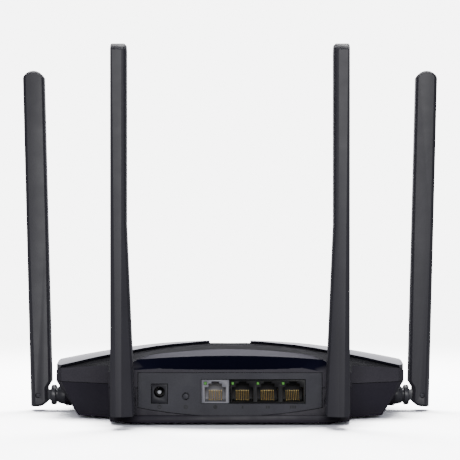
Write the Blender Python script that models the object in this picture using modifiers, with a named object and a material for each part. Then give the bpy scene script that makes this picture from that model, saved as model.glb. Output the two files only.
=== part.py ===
"""Wireless router with four antennas that swivel and tilt.

World frame in metres: +Z up, the sockets face +Y, the power inlet is on the +X side.
The origin is on the table, under the middle of the bounding box. Along the body, places
are given as a depth, measured from the port panel's face towards the front.
"""
import math

import bmesh
import bpy
from mathutils import Matrix, Vector

MM = 0.001
GAP = 0.3 * MM
WALL = 2.0 * MM

# Body outline: half of each section, as (x, depth), from the rear centre round to the front.
BODY_HALF_WIDTH = 104.4 * MM
BODY_DEPTH = 160.3 * MM
BLOCK_HALF_WIDTH = 67.0 * MM
FLOOR_Z = 1.6 * MM
CREASE_Z = 21.0 * MM
HULL_TUCK = 13.0 * MM
SIDE_REAR_DEPTH = 46.0 * MM
SIDE_FRONT_DEPTH = 88.0 * MM

# Deck: height of its crown and how it falls away.
CROWN_Z = 43.2 * MM
CROWN_REAR_FALL = 1.0 * MM
CROWN_FLAT_DEPTH = 70.0 * MM
CROWN_FRONT_SLOPE = 0.066
NOSE_DROP = 6.4 * MM
ARCH_DROP = 13.3 * MM
ARCH_HALF_WIDTH = 100.3 * MM
ARCH_POWER = 1.75
SHOULDER_SLOPE = 0.14
SHOULDER_START = 45.0 * MM
SHOULDER_END = 72.0 * MM
RISE_LENGTH = 20.0 * MM
EDGE_CHAMFER_WIDTH = 2.9 * MM
EDGE_CHAMFER_SLOPE = 0.8

# Wing plates.
WING_THICKNESS = 1.3 * MM
WING_TIP_X = 13.0 * MM
WING_TIP_DEPTH = 71.3 * MM
WING_EDGE_INSET = 0.3 * MM

# Overhang above the sockets.
VISOR_HALF_WIDTH = 53.0 * MM
VISOR_REACH = 8.0 * MM
VISOR_CREST_REACH = 2.0 * MM
VISOR_LIP_Z = 40.0 * MM
VISOR_LIP_FALL = 2.9 * MM
VISOR_SOFFIT_Z = 30.2 * MM

# Vent slots: (first x, last x) of each group on one side of the deck.
VENT_GROUPS = ((2.5 * MM, 21.0 * MM), (36.0 * MM, 51.0 * MM), (69.0 * MM, 86.0 * MM))
VENT_PITCH = 2.5 * MM
VENT_WIDTH = 1.1 * MM
VENT_LENGTH = 5.0 * MM
VENT_SLANT = math.radians(32)
VENT_SETBACK = 7.5 * MM

# Port panel and what shows in it.
PANEL_HALF_WIDTH = 52.3 * MM
PANEL_TOP_Z = 29.6 * MM
PANEL_LOW_Z = 5.0 * MM
PANEL_ARC_RISE = 5.0 * MM
PANEL_THICKNESS = 1.4 * MM
PANEL_RECESS = 0.3 * MM
RIM_REACH = 2.5 * MM
RIM_TOP_Z = 5.6 * MM
BOARD_TOP_Z = 12.1 * MM
BOARD_THICKNESS = 1.6 * MM
JACK_HEIGHT = 13.3 * MM
JACK_LENGTH = 21.0 * MM
JACK_PROUD = 0.5 * MM
WAN_X = 8.4 * MM
WAN_WIDTH = 15.7 * MM
LAN_PITCH = 14.35 * MM
LAN_PORTS = 3
LAN_WIDTH = LAN_PORTS * LAN_PITCH - 0.45 * MM
LAN_X = WAN_X - (WAN_WIDTH + LAN_WIDTH) / 2 - 0.75 * MM
SOCKET_DEPTH = 13.0 * MM
# Stepped jack opening: (width, low edge, high edge) above the jack's underside.
SOCKET_STEPS = (
    (11.9 * MM, 0.9 * MM, 9.1 * MM),
    (7.6 * MM, 9.0 * MM, 11.2 * MM),
    (4.3 * MM, 11.1 * MM, 12.4 * MM),
)
CONTACTS = 8
CONTACT_PITCH = 1.02 * MM
CONTACT_WIDTH = 0.5 * MM
CARRIER_LENGTH = 3.0 * MM
CARRIER_HEIGHT = 1.2 * MM
FINGER_THICKNESS = 0.4 * MM
FINGER_FRONT = 4.0 * MM
FINGER_RISE = 5.0 * MM
LIGHT_SIZE = 1.3 * MM
LIGHT_OFFSET = 5.6 * MM
LIGHT_DROP = 2.0 * MM
POWER_X = 40.2 * MM
POWER_WIDTH = 9.0 * MM
POWER_HEIGHT = 10.8 * MM
POWER_HOLE_Z = 18.7 * MM
POWER_HOLE_RADIUS = 3.15 * MM
POWER_HOLE_DEPTH = 9.5 * MM
POWER_LENGTH = 13.0 * MM
POWER_PIN_RADIUS = 1.05 * MM
BUTTON_X = 25.2 * MM
BUTTON_Z = 16.3 * MM
BUTTON_RADIUS = 1.5 * MM
BUTTON_RING_RADIUS = 2.2 * MM
BUTTON_FLANGE_RADIUS = 2.9 * MM
BUTTON_TRAVEL = 0.6 * MM
BUTTON_LENGTH = 7.0 * MM

# Antennas: the pin is where the swivel axis and the tilt axis meet.
REACH = 17.0 * MM
INNER_X = 59.7 * MM
INNER_Z = 13.8 * MM
OUTER_DEPTH = 75.0 * MM
OUTER_Z = 9.8 * MM
OUTER_LEAN = math.radians(1.46)
BLADE_ABOVE_PIN = 201.2 * MM
BLADE_BELOW_PIN = 6.9 * MM
BLADE_FAR = 5.2 * MM
BLADE_NEAR = 8.0 * MM
BLADE_BACK = 6.9 * MM
BLADE_FRONT_BASE = 6.6 * MM
BLADE_FRONT_TOP = 2.0 * MM
BLADE_FLARE_Z = 100.0 * MM
BLADE_TIP_SAG = 4.3 * MM
BLADE_FRONT_BEVEL = 1.9 * MM
BLADE_BACK_BEVEL = 0.9 * MM
RIDGE_FRONT = -0.6 * MM
RIDGE_SLOPE = math.radians(20)
RIDGE_BACK_FOOT = -3.6 * MM
RIDGE_BACK_TIP = -5.9 * MM
RIDGE_BACK_SLOPE = math.radians(26)
CHEEK_CUT = 5.5 * MM
SLOT_HALF_WIDTH = 2.3 * MM
SLOT_TOP = 5.0 * MM
FAR_WALL = 1.65 * MM
BLADE_SHELL = 1.5 * MM
CAVITY_TOP = 190.0 * MM
STRIP_WIDTH = 6.6 * MM
STRIP_THICKNESS = 0.8 * MM
STRIP_RANGE = (20.0 * MM, 150.0 * MM)
DISC_RADIUS = 6.2 * MM
DISC_NEAR = 7.9 * MM
DISC_THICKNESS = 3.1 * MM
NECK_RADIUS = 4.6 * MM
NECK_LENGTH = 1.2 * MM
CONE_RADIUS = 5.2 * MM
SPIGOT_RADIUS = 4.0 * MM
SPIGOT_END = 27.6 * MM
BARB_RADIUS = 4.8 * MM
BARB_START = 25.8 * MM
LEAD_RADIUS = 0.6 * MM
SPIGOT_BORE = 1.3 * MM
PIN_RADIUS = 1.25 * MM
EYE_RADIUS = 3.2 * MM
TONGUE_HALF_HEIGHT = EYE_RADIUS
BOSS_RADIUS = 6.8 * MM
BOSS_INSIDE_X = BODY_HALF_WIDTH - 11.0 * MM

# Board, posts, screws and feet.
BOARD_HALF_WIDTH = 78.0 * MM
BOARD_REAR_HALF_WIDTH = 50.0 * MM
BOARD_FRONT_DEPTH = 118.0 * MM
BOARD_SCREWS = ((-60.0 * MM, 44.0 * MM), (60.0 * MM, 44.0 * MM), (0.0, 111.0 * MM))
BOARD_SCREW_RADIUS = 1.2 * MM
CASE_SCREWS = ((84.0 * MM, 53.0 * MM), (40.0 * MM, 126.0 * MM))
CASE_SCREW_RADIUS = 1.5 * MM
CASE_SCREW_TOP_Z = 26.0 * MM
POST_WALL = 2.0 * MM
COUNTERBORE_RADIUS = 3.3 * MM
COUNTERBORE_DEPTH = 3.4 * MM
SCREW_HEAD_HEIGHT = 1.6 * MM
BOARD_SCREW_HEAD = 2.6 * MM
CASE_SCREW_HEAD = 2.9 * MM
BOARD_POST_RADIUS = 3.4 * MM
FOOT_RADIUS = 6.5 * MM
FOOT_THICKNESS = 1.8 * MM
FOOT_PLACES = (("rear", 56.0 * MM, 13.0 * MM), ("front", 54.0 * MM, 114.0 * MM))
TRANSFORMER_SPAN = (25.0 * MM, 34.0 * MM)
TRANSFORMER_HEIGHT = 5.5 * MM
WAN_TRANSFORMER_HALF = 6.0 * MM
LAN_TRANSFORMER_HALF = 16.0 * MM
CAPACITOR_RADIUS = 4.0 * MM
CAPACITOR_HEIGHT = 12.0 * MM
CAPACITOR_DEPTH = 26.0 * MM
STATUS_LIGHT_SPAN = (115.0 * MM, 117.0 * MM)
STATUS_LIGHT_HALF = 1.2 * MM
STATUS_LIGHT_HEIGHT = 1.0 * MM
LIGHT_PIPE_HALF = 3.0 * MM
LIGHT_PIPE_NOSE_GAP = 0.9 * MM
SHIELD_SIZE = (30.0 * MM, 34.0 * MM, 3.4 * MM)
SHIELD_X = 46.0 * MM
SHIELD_SHEET = 0.4 * MM
LEAD_STARTS = {"inner": (44.0 * MM, 34.0 * MM), "outer": (70.0 * MM, 70.0 * MM)}
LEAD_LIFT = 0.1 * MM
CHIP_DEPTH = 75.0 * MM
CHIP_SIZE = 19.0 * MM
CHIP_HEIGHT = 1.4 * MM
PAD_HEIGHT = 0.8 * MM
SINK_SIZE = 44.0 * MM
SINK_BASE = 2.0 * MM
SINK_HEIGHT = 9.0 * MM
SINK_FINS = 8
LIGHT_PIPE_Z = 24.0 * MM

SEGMENTS = 20
SIDES = (("left", 1), ("right", -1))
REAR_MOST = -(REACH + BLADE_FAR)
MID_DEPTH = (BODY_DEPTH + REAR_MOST) / 2


def y_at(depth):
    """World Y of a depth."""
    return MID_DEPTH - depth


def crease_half():
    """Half outline where the side walls stand, as (x, depth), from the rear block's corner round."""
    wide = BODY_HALF_WIDTH
    return [
        (BLOCK_HALF_WIDTH, 0.0),
        (BLOCK_HALF_WIDTH + 2.5 * MM, 3.0 * MM),
        (BLOCK_HALF_WIDTH + 4.5 * MM, 26.0 * MM),
        (wide - 3.8 * MM, SIDE_REAR_DEPTH - 6.0 * MM),
        (wide, SIDE_REAR_DEPTH),
        (wide, SIDE_FRONT_DEPTH),
        (0.84 * wide, 0.774 * BODY_DEPTH),
        (0.326 * wide, BODY_DEPTH - 3.3 * MM),
        (0.0, BODY_DEPTH),
    ]


def floor_half():
    """Half outline of the underside, tucked in under the sides and the front."""
    crease = crease_half()
    tuck = HULL_TUCK
    shifts = [
        (-1.0 * MM, 0.0),
        (-1.0 * MM, 0.0),
        (-0.9 * MM, -0.4 * MM),
        (-0.82 * tuck, -5.7 * MM),
        (-tuck, -4.0 * MM),
        (-tuck, -2.0 * MM),
        (-0.85 * tuck, -7.0 * MM),
        (-0.3 * tuck, -8.0 * MM),
        (0.0, -8.3 * MM),
    ]
    return [(x + dx, depth + dd) for (x, depth), (dx, dd) in zip(crease, shifts)]


def closed(half):
    """World outline, counter-clockwise from above, from its +X half; a corner on x = 0 comes once."""
    mirrored = [(-x, depth) for x, depth in half[::-1] if x > 0]
    return [(x, y_at(depth)) for x, depth in half + mirrored][::-1]


def inset(points, distance):
    """A counter-clockwise outline moved inwards by a distance."""
    moved = []
    count = len(points)
    for index in range(count):
        before, here, after = (Vector(points[(index + step) % count]) for step in (-1, 0, 1))
        into = (here - before).normalized()
        out = (after - here).normalized()
        normal = Vector((-into.y, into.x)) + Vector((-out.y, out.x))
        normal.normalize()
        corner = here + normal * distance / max(normal.dot(Vector((-out.y, out.x))), 0.5)
        moved.append((corner.x, corner.y))
    return moved


def smooth(value):
    """A soft step from 0 to 1."""
    value = min(max(value, 0.0), 1.0)
    return value * value * (3 - 2 * value)


def wing_edge_depth(x):
    """Depth of the wings' rear edge at |x|."""
    outer_depth = SIDE_REAR_DEPTH - 4.0 * MM
    return outer_depth + (ARCH_HALF_WIDTH - abs(x)) * (WING_TIP_DEPTH - outer_depth) / (
        ARCH_HALF_WIDTH - WING_TIP_X
    )


def deck_height(x, depth):
    """Height of the deck without its edge chamfer."""
    x = abs(x)
    beyond = max(depth - CROWN_FLAT_DEPTH, 0.0)
    front = BODY_DEPTH - CROWN_FLAT_DEPTH
    crown = CROWN_Z - CROWN_REAR_FALL * min(depth / CROWN_FLAT_DEPTH, 1.0)
    crown -= CROWN_FRONT_SLOPE * beyond + NOSE_DROP * (beyond / front) ** 2
    arch = ARCH_DROP * (x / ARCH_HALF_WIDTH) ** ARCH_POWER
    from_wing = depth - wing_edge_depth(x)
    shoulder = smooth((x - SHOULDER_START) / (SHOULDER_END - SHOULDER_START))
    shoulder *= SHOULDER_SLOPE * max(-from_wing, 0.0)
    rise = (0.4 * MM + 0.026 * x) * math.sin(0.5 * math.pi * min(max(from_wing / RISE_LENGTH, 0.0), 1.0))
    return crown - arch - shoulder + rise


def edge_chamfer(x):
    """How far the deck drops beside the body's sides."""
    return EDGE_CHAMFER_SLOPE * max(abs(x) - (BODY_HALF_WIDTH - EDGE_CHAMFER_WIDTH), 0.0)


def deck_under_wing(x, depth):
    """Height of the deck itself, its edge chamfer included."""
    return deck_height(x, depth) - edge_chamfer(x)


def material(name, colour, roughness, metallic=0.0):
    """A Principled material, made once for each name."""
    made = bpy.data.materials.get(name)
    if made is None:
        made = bpy.data.materials.new(name)
        made.use_nodes = True
        shader = made.node_tree.nodes["Principled BSDF"]
        shader.inputs["Base Color"].default_value = (*colour, 1.0)
        shader.inputs["Roughness"].default_value = roughness
        shader.inputs["Metallic"].default_value = metallic
    return made


def matte_black():
    return material("matte_black_plastic", (0.022, 0.022, 0.027), 0.55)


def gloss_black():
    return material("gloss_black_plastic", (0.012, 0.012, 0.018), 0.08)


def hull_black():
    return material("hull_black_plastic", (0.014, 0.013, 0.02), 0.4)


def panel_grey():
    return material("panel_grey_plastic", (0.055, 0.055, 0.068), 0.5)


def hinge_grey():
    return material("hinge_grey_plastic", (0.09, 0.09, 0.1), 0.5)


def blade_black():
    return material("antenna_plastic", (0.04, 0.042, 0.046), 0.5)


def jack_grey():
    return material("jack_grey_plastic", (0.24, 0.24, 0.26), 0.45)


def jack_black():
    return material("jack_black_plastic", (0.012, 0.012, 0.012), 0.5)


def gold():
    return material("gold_plated_contact", (0.8, 0.55, 0.2), 0.25, 1.0)


def steel():
    return material("steel", (0.6, 0.6, 0.62), 0.3, 1.0)


def aluminium():
    return material("aluminium", (0.75, 0.75, 0.77), 0.35, 1.0)


def green_light():
    return material("green_light", (0.15, 0.6, 0.1), 0.3)


def clear_plastic():
    return material("clear_plastic", (0.8, 0.8, 0.8), 0.1)


def board_green():
    return material("circuit_board", (0.02, 0.12, 0.05), 0.4)


def rubber():
    return material("rubber", (0.02, 0.02, 0.02), 0.8)


def collection(name):
    """The named collection, linked to the scene."""
    made = bpy.data.collections.get(name)
    if made is None:
        made = bpy.data.collections.new(name)
        bpy.context.scene.collection.children.link(made)
    return made


def finish(bm, name, skin=None):
    """Turn a bmesh into a part, or into a cutter where it has no material."""
    bmesh.ops.recalc_face_normals(bm, faces=bm.faces)
    mesh = bpy.data.meshes.new(name)
    bm.to_mesh(mesh)
    bm.free()
    return place(name, mesh, skin)


def place(name, mesh, skin=None):
    """Link a mesh as a part, or as a hidden cutter where it has no material."""
    made = bpy.data.objects.new(name, mesh)
    if skin is None:
        collection("cutters").objects.link(made)
        made.hide_render = True
        made.display_type = "WIRE"
    else:
        collection("wireless_router").objects.link(made)
        mesh.materials.append(skin)
        mesh.shade_smooth()
        mesh.set_sharp_from_angle(angle=math.radians(30))
    return made


def meshed(curve_object, skin):
    """A curve's evaluated shape as a mesh object, its caps welded."""
    name = curve_object.name
    bpy.context.view_layer.update()
    evaluated = curve_object.evaluated_get(bpy.context.evaluated_depsgraph_get())
    mesh = bpy.data.meshes.new_from_object(evaluated)
    mesh.transform(curve_object.matrix_world)
    bpy.data.objects.remove(curve_object)
    bm = bmesh.new()
    bm.from_mesh(mesh)
    bmesh.ops.remove_doubles(bm, verts=bm.verts, dist=0.001 * MM)
    bmesh.ops.recalc_face_normals(bm, faces=bm.faces)
    mesh.clear_geometry()
    bm.to_mesh(mesh)
    bm.free()
    mesh.materials.clear()
    return place(name, mesh, skin)


def slab(name, points, low, high, skin=None, turn=Matrix.Identity(4)):
    """A flat outline thickened between two heights, then turned."""
    curve = bpy.data.curves.new(name, "CURVE")
    curve.dimensions = "2D"
    curve.fill_mode = "BOTH"
    curve.extrude = (high - low) / 2
    spline = curve.splines.new("POLY")
    spline.points.add(len(points) - 1)
    for corner, (u, v) in zip(spline.points, points):
        corner.co = (u, v, 0.0, 1.0)
    spline.use_cyclic_u = True
    flat = bpy.data.objects.new(name, curve)
    collection("cutters").objects.link(flat)
    flat.matrix_world = turn @ Matrix.Translation((0.0, 0.0, (low + high) / 2))
    return meshed(flat, skin)


def upright(depth):
    """Turn an outline drawn as (x, z) to stand at a depth, thickening towards the front."""
    return Matrix.Translation((0.0, y_at(depth), 0.0)) @ Matrix.Rotation(math.pi / 2, 4, "X")


def box(name, x_span, depth_span, z_span, skin=None):
    """A block between two values of x, depth and z."""
    low = Vector((min(x_span), y_at(max(depth_span)), min(z_span)))
    high = Vector((max(x_span), y_at(min(depth_span)), max(z_span)))
    bm = bmesh.new()
    bmesh.ops.create_cube(bm, size=1.0)
    bmesh.ops.scale(bm, vec=high - low, verts=bm.verts)
    bmesh.ops.translate(bm, vec=(high + low) / 2, verts=bm.verts)
    return finish(bm, name, skin)


def rod(name, start, end, radius, skin=None, end_radius=None, segments=SEGMENTS):
    """A cylinder or cone between two world points."""
    start, end = Vector(start), Vector(end)
    axis = end - start
    matrix = Matrix.Translation((start + end) / 2) @ axis.to_track_quat("Z", "Y").to_matrix().to_4x4()
    bm = bmesh.new()
    bmesh.ops.create_cone(
        bm,
        cap_ends=True,
        segments=segments,
        radius1=radius,
        radius2=radius if end_radius is None else end_radius,
        depth=axis.length,
        matrix=matrix,
    )
    return finish(bm, name, skin)


def post(name, x, depth, z_span, radius, skin=None, segments=SEGMENTS):
    """An upright cylinder at a place on the body."""
    y = y_at(depth)
    return rod(name, (x, y, z_span[0]), (x, y, z_span[1]), radius, skin, segments=segments)


def boolean(target, tools, operation):
    """Add a Boolean for each tool."""
    for tool in tools:
        modifier = target.modifiers.new(tool.name, "BOOLEAN")
        modifier.object = tool
        modifier.operation = operation
        modifier.solver = "EXACT"
    return target


def cut(target, *tools):
    return boolean(target, tools, "DIFFERENCE")


def join(target, *tools):
    return boolean(target, tools, "UNION")


def turned(name, profile, skin, steps=SEGMENTS):
    """A profile of (x, radius) turned about the local X axis, from its +X end down."""
    bm = bmesh.new()
    corners = [bm.verts.new((x, radius, 0.0)) for x, radius in profile]
    for first, second in zip(corners, corners[1:]):
        bm.edges.new((first, second))
    mesh = bpy.data.meshes.new(name)
    bm.to_mesh(mesh)
    bm.free()
    made = place(name, mesh, skin)
    screw = made.modifiers.new("turn", "SCREW")
    screw.axis = "X"
    screw.steps = steps
    screw.render_steps = steps
    screw.use_merge_vertices = True
    screw.merge_threshold = 0.00001
    return made


def loft(name, low_points, low_z, high_points, high_z, skin=None):
    """A solid between two level outlines with the same number of corners."""
    bm = bmesh.new()
    loops = []
    for points, z in ((low_points, low_z), (high_points, high_z)):
        corners = [bm.verts.new((x, y, z)) for x, y in points]
        face = bm.faces.new(corners)
        loops.append(list(face.edges))
    bmesh.ops.bridge_loops(bm, edges=loops[0] + loops[1])
    return finish(bm, name, skin)


def deck_layer(name, low, high, skin=None):
    """A solid between two height functions of (x, depth), wider than the body."""
    columns, rows = 22, 16
    edge = BODY_HALF_WIDTH - EDGE_CHAMFER_WIDTH
    bm = bmesh.new()
    bmesh.ops.create_grid(bm, x_segments=columns, y_segments=rows, size=1.0)
    places = {}
    for vert in bm.verts:
        column = round(vert.co.x * columns / 2)
        inner = columns // 2 - 1
        x = edge * column / inner if abs(column) <= inner else math.copysign(
            BODY_HALF_WIDTH + 6 * MM, column
        )
        depth = -12 * MM + (BODY_DEPTH + 20 * MM) * (vert.co.y + 1) / 2
        places[vert] = (x, depth)
    for vert, (x, depth) in places.items():
        vert.co = (x, y_at(depth), low(x, depth))
    grown = bmesh.ops.extrude_face_region(bm, geom=bm.faces[:])
    for vert in grown["geom"]:
        if isinstance(vert, bmesh.types.BMVert):
            vert.co.z = high(vert.co.x, MID_DEPTH - vert.co.y)
    return finish(bm, name, skin)


def panel_outline(clearance):
    """The port panel's outline in (x, z): straight top, arched underside."""
    half = PANEL_HALF_WIDTH + clearance
    steps = 12
    arc = []
    for step in range(steps + 1):
        x = half * (1 - 2 * step / steps)
        arc.append((x, PANEL_LOW_Z - clearance + PANEL_ARC_RISE * (x / half) ** 2))
    return [(-half, PANEL_TOP_Z + clearance), (half, PANEL_TOP_Z + clearance)] + arc


def visor():
    """The overhang above the sockets, a wedge whose reach dies away to both sides."""
    bm = bmesh.new()
    bmesh.ops.create_cube(bm, size=2.0)
    long_edges = [edge for edge in bm.edges if abs(edge.verts[0].co.x - edge.verts[1].co.x) > 1]
    bmesh.ops.subdivide_edges(bm, edges=long_edges, cuts=15, use_grid_fill=True)
    for vert in bm.verts:
        across, rearward, up = vert.co
        x = across * VISOR_HALF_WIDTH
        bulge = 1 - across * across
        lip_z = VISOR_LIP_Z - VISOR_LIP_FALL * across * across
        if up < 0:
            depth = -VISOR_REACH * bulge if rearward > 0 else 1.2 * MM
            z = lip_z if rearward > 0 else VISOR_SOFFIT_Z
        else:
            depth = -VISOR_CREST_REACH * bulge if rearward > 0 else 1.2 * MM
            z = max(deck_height(x, max(depth, 0.0)), lip_z + GAP)
        vert.co = (x, y_at(depth), z)
    return finish(bm, "visor_wedge")


def vent_places():
    """Each slot's (x, depth) along the rear edges of both wings."""
    places = []
    for _, side in SIDES:
        for first, last in VENT_GROUPS:
            for step in range(int((last - first) / VENT_PITCH) + 1):
                x = first + step * VENT_PITCH
                places.append((side, side * x, wing_edge_depth(x) - VENT_SETBACK))
    return places


def vent_cutter():
    """All the slanted vent slots as one cutter."""
    bm = bmesh.new()
    for side, x, depth in vent_places():
        z = deck_under_wing(x, depth)
        size = Matrix.Diagonal((VENT_WIDTH, VENT_LENGTH, 4 * WALL, 1.0))
        spot = Matrix.Translation((x, y_at(depth), z)) @ Matrix.Rotation(side * VENT_SLANT, 4, "Z")
        bmesh.ops.create_cube(bm, size=1.0, matrix=spot @ size)
    return finish(bm, "vent_slots")


def case_screw_places():
    """The four case screws: (name, x, depth)."""
    places = []
    for side_name, side in SIDES:
        for row, (x, depth) in zip(("rear", "front"), CASE_SCREWS):
            places.append((f"{row}_{side_name}", side * x, depth))
    return places


def antenna_places():
    """Each antenna: name, hand, pin place, turn about Z and lean away from upright."""
    places = []
    for side_name, side in SIDES:
        outer = Vector((side * outer_pin_x(), y_at(OUTER_DEPTH), OUTER_Z))
        inner = Vector((side * INNER_X, y_at(-REACH), INNER_Z))
        outer_turn = 0.0 if side > 0 else math.pi
        places.append((f"{side_name}_outer", side, outer, outer_turn, OUTER_LEAN))
        places.append((f"{side_name}_inner", side, inner, math.pi / 2, 0.0))
    return places


def outer_pin_x():
    """X of the outer pins: the socket boss ends just inside the widest line of the body."""
    return BODY_HALF_WIDTH - 2.8 * MM + REACH


def top_case():
    """Side walls and deck in one shell, with the overhang, the screw bosses and the vents."""
    outline = closed(crease_half())
    case = slab("top_case", outline, CREASE_Z + GAP, CROWN_Z + 8 * MM, matte_black())
    above = deck_layer("above_deck", deck_under_wing, lambda x, depth: CROWN_Z + 30 * MM)
    hollow = slab("top_hollow", inset(outline, WALL), CREASE_Z - 5 * MM, CROWN_Z + 4 * MM)
    skin = deck_layer(
        "deck_skin",
        lambda x, depth: deck_under_wing(x, depth) - WALL,
        lambda x, depth: CROWN_Z + 30 * MM,
    )
    cut(hollow, skin)
    opening = slab("panel_opening", panel_outline(GAP), -3 * MM, 3 * MM, turn=upright(0.0))
    cut(case, above, hollow)
    join(case, visor())
    bosses = []
    holes = []
    for name, x, depth in case_screw_places():
        top = deck_under_wing(x, depth) - 0.5 * WALL
        radius = CASE_SCREW_RADIUS + GAP + POST_WALL
        bosses.append(post(f"top_boss_{name}", x, depth, (CREASE_Z + GAP, top), radius))
        hole_top = CASE_SCREW_TOP_Z + GAP
        holes.append(
            post(
                f"top_pilot_{name}", x, depth, (CREASE_Z - MM, hole_top), CASE_SCREW_RADIUS + GAP,
                segments=12,
            )
        )
    join(case, *bosses)
    window = box(
        "light_window", (-3.3 * MM, 3.3 * MM), (BODY_DEPTH - 8 * MM, BODY_DEPTH + 4 * MM),
        light_pipe_span(GAP),
    )
    cut(case, opening, vent_cutter(), window, *holes)


def light_pipe_span(clearance):
    """Heights of the light pipe's outlet."""
    return LIGHT_PIPE_Z - 0.8 * MM - clearance, LIGHT_PIPE_Z + 0.8 * MM + clearance


def socket_bosses():
    """The round seats that the outer antennas plug into."""
    bosses = []
    for name, side in SIDES:
        y = y_at(OUTER_DEPTH)
        start = (side * BOSS_INSIDE_X, y, OUTER_Z)
        end = (side * (outer_pin_x() - REACH), y, OUTER_Z)
        bosses.append(rod(f"boss_{name}", start, end, BOSS_RADIUS))
    return bosses


def socket_bores():
    """The holes that the four antenna spigots turn in."""
    bores = []
    for name, _, pin, turn, _ in antenna_places():
        outward = Vector((math.cos(turn), math.sin(turn), 0.0))
        start = pin - outward * (SPIGOT_END + 3 * MM)
        end = pin - outward * (REACH - 3 * MM)
        bores.append(rod(f"bore_{name}", start, end, SPIGOT_RADIUS + GAP))
        shoulder = pin - outward * (BARB_START - GAP)
        bores.append(rod(f"barb_room_{name}", start, shoulder, BARB_RADIUS + GAP))
    return bores


def bottom_case():
    """The hull: a tray with sloped sides, a rear rim, posts, bosses and foot recesses."""
    floor, crease = closed(floor_half()), closed(crease_half())
    case = loft("bottom_case", floor, FLOOR_Z, crease, CREASE_Z, hull_black())
    hollow = loft(
        "hull_hollow", inset(floor, WALL), FLOOR_Z + WALL, inset(crease, WALL), CREASE_Z + 0.1 * MM
    )
    rim_half = BLOCK_HALF_WIDTH - 6 * MM
    rim_points = [(-rim_half, WALL / 2), (-rim_half, 0.0), (-rim_half + 8 * MM, -RIM_REACH)]
    rim_points += [(-x, depth) for x, depth in rim_points[::-1]]
    rim = slab("rim", [(x, y_at(depth)) for x, depth in rim_points], FLOOR_Z, RIM_TOP_Z)
    cut(case, hollow)
    join(case, rim)
    holes = [slab("panel_opening_low", panel_outline(GAP), -1 * MM, 3 * MM, turn=upright(0.0))]
    for name, x, depth in case_screw_places():
        radius = CASE_SCREW_RADIUS + GAP + POST_WALL
        join(case, post(f"case_post_{name}", x, depth, (FLOOR_Z + WALL / 2, CREASE_Z), radius))
        holes.append(
            post(f"case_bore_{name}", x, depth, (0.0, CREASE_Z + MM), CASE_SCREW_RADIUS + GAP, segments=12)
        )
        holes.append(
            post(
                f"case_counterbore_{name}", x, depth, (0.0, FLOOR_Z + COUNTERBORE_DEPTH), COUNTERBORE_RADIUS,
                segments=16,
            )
        )
    for index, (x, depth) in enumerate(BOARD_SCREWS):
        top = BOARD_TOP_Z - BOARD_THICKNESS - GAP
        join(
            case,
            post(f"board_post_{index}", x, depth, (FLOOR_Z + WALL / 2, top), BOARD_POST_RADIUS, segments=16),
        )
        holes.append(
            post(
                f"board_pilot_{index}", x, depth, (FLOOR_Z + 2 * WALL, top + MM), BOARD_SCREW_RADIUS + GAP,
                segments=12,
            )
        )
    join(case, *socket_bosses())
    for row, x, depth in FOOT_PLACES:
        for name, side in SIDES:
            holes.append(
                post(
                    f"recess_{row}_{name}", side * x, depth, (0.0, FOOT_THICKNESS + GAP), FOOT_RADIUS + GAP
                )
            )
    cut(case, *holes, *socket_bores())


def wing_plates():
    """The two glossy plates that lie on the deck and fold down over its edges."""
    crease = inset(closed(crease_half()), WING_EDGE_INSET)
    for name, side in SIDES:
        plate = slab(f"{name}_wing_plate", crease, CREASE_Z, CROWN_Z + 8 * MM, gloss_black())
        layer = deck_layer(
            f"wing_layer_{name}",
            lambda x, depth: deck_under_wing(x, depth) + GAP,
            lambda x, depth: deck_height(x, depth) + GAP + WING_THICKNESS,
        )
        far = BODY_HALF_WIDTH + 10 * MM
        plan = [(WING_TIP_X, WING_TIP_DEPTH), (far, wing_edge_depth(far))]
        plan += [(far, BODY_DEPTH + 5 * MM), (WING_TIP_X, BODY_DEPTH + 5 * MM)]
        region = slab(
            f"wing_region_{name}", [(side * x, y_at(depth)) for x, depth in plan], 0.0, 2 * CROWN_Z
        )
        boolean(plate, (layer, region), "INTERSECT")


def jack_cutouts(clearance):
    """Blocks for the panel's cut-outs: each network jack and the power inlet."""
    span = (-2 * MM, 4 * MM)
    bottom = BOARD_TOP_Z + GAP
    blocks = []
    for name, x, width, height in (
        ("wan", WAN_X, WAN_WIDTH, JACK_HEIGHT),
        ("lan", LAN_X, LAN_WIDTH, JACK_HEIGHT),
        ("power", POWER_X, POWER_WIDTH, POWER_HEIGHT),
    ):
        half = width / 2 + clearance
        heights = (bottom - clearance, bottom + height + clearance)
        blocks.append(box(f"cutout_{name}", (x - half, x + half), span, heights))
    return blocks


def port_panel():
    """The grey plate that frames the sockets."""
    panel = slab(
        "port_panel", panel_outline(0.0), 0.0, PANEL_THICKNESS, panel_grey(), upright(PANEL_RECESS)
    )
    ring = rod(
        "ring_hole", (BUTTON_X, y_at(-3 * MM), BUTTON_Z), (BUTTON_X, y_at(4 * MM), BUTTON_Z),
        BUTTON_RING_RADIUS,
    )
    cut(panel, ring, *jack_cutouts(GAP))


def lan_centres():
    """X of each socket in the triple jack, from +X to -X."""
    return [LAN_X + LAN_PITCH * ((LAN_PORTS - 1) / 2 - index) for index in range(LAN_PORTS)]


def socket_cutters(name, x):
    """The stepped opening of one network socket."""
    bottom = BOARD_TOP_Z + GAP
    blocks = []
    for step, (width, low, high) in enumerate(SOCKET_STEPS):
        spans = (x - width / 2, x + width / 2), (-2 * MM, SOCKET_DEPTH - step * MM), (
            bottom + low, bottom + high
        )
        blocks.append(box(f"{name}_step_{step}", *spans))
    return blocks


def light_spans(x, clearance=0.0):
    """The little light window at the top corner of a socket."""
    half = LIGHT_SIZE / 2 + clearance
    z = BOARD_TOP_Z + GAP + JACK_HEIGHT - LIGHT_DROP
    centre = x + LIGHT_OFFSET
    return (centre - half, centre + half), (-JACK_PROUD - clearance, 2 * MM + clearance), (
        z - half, z + half
    )


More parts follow.
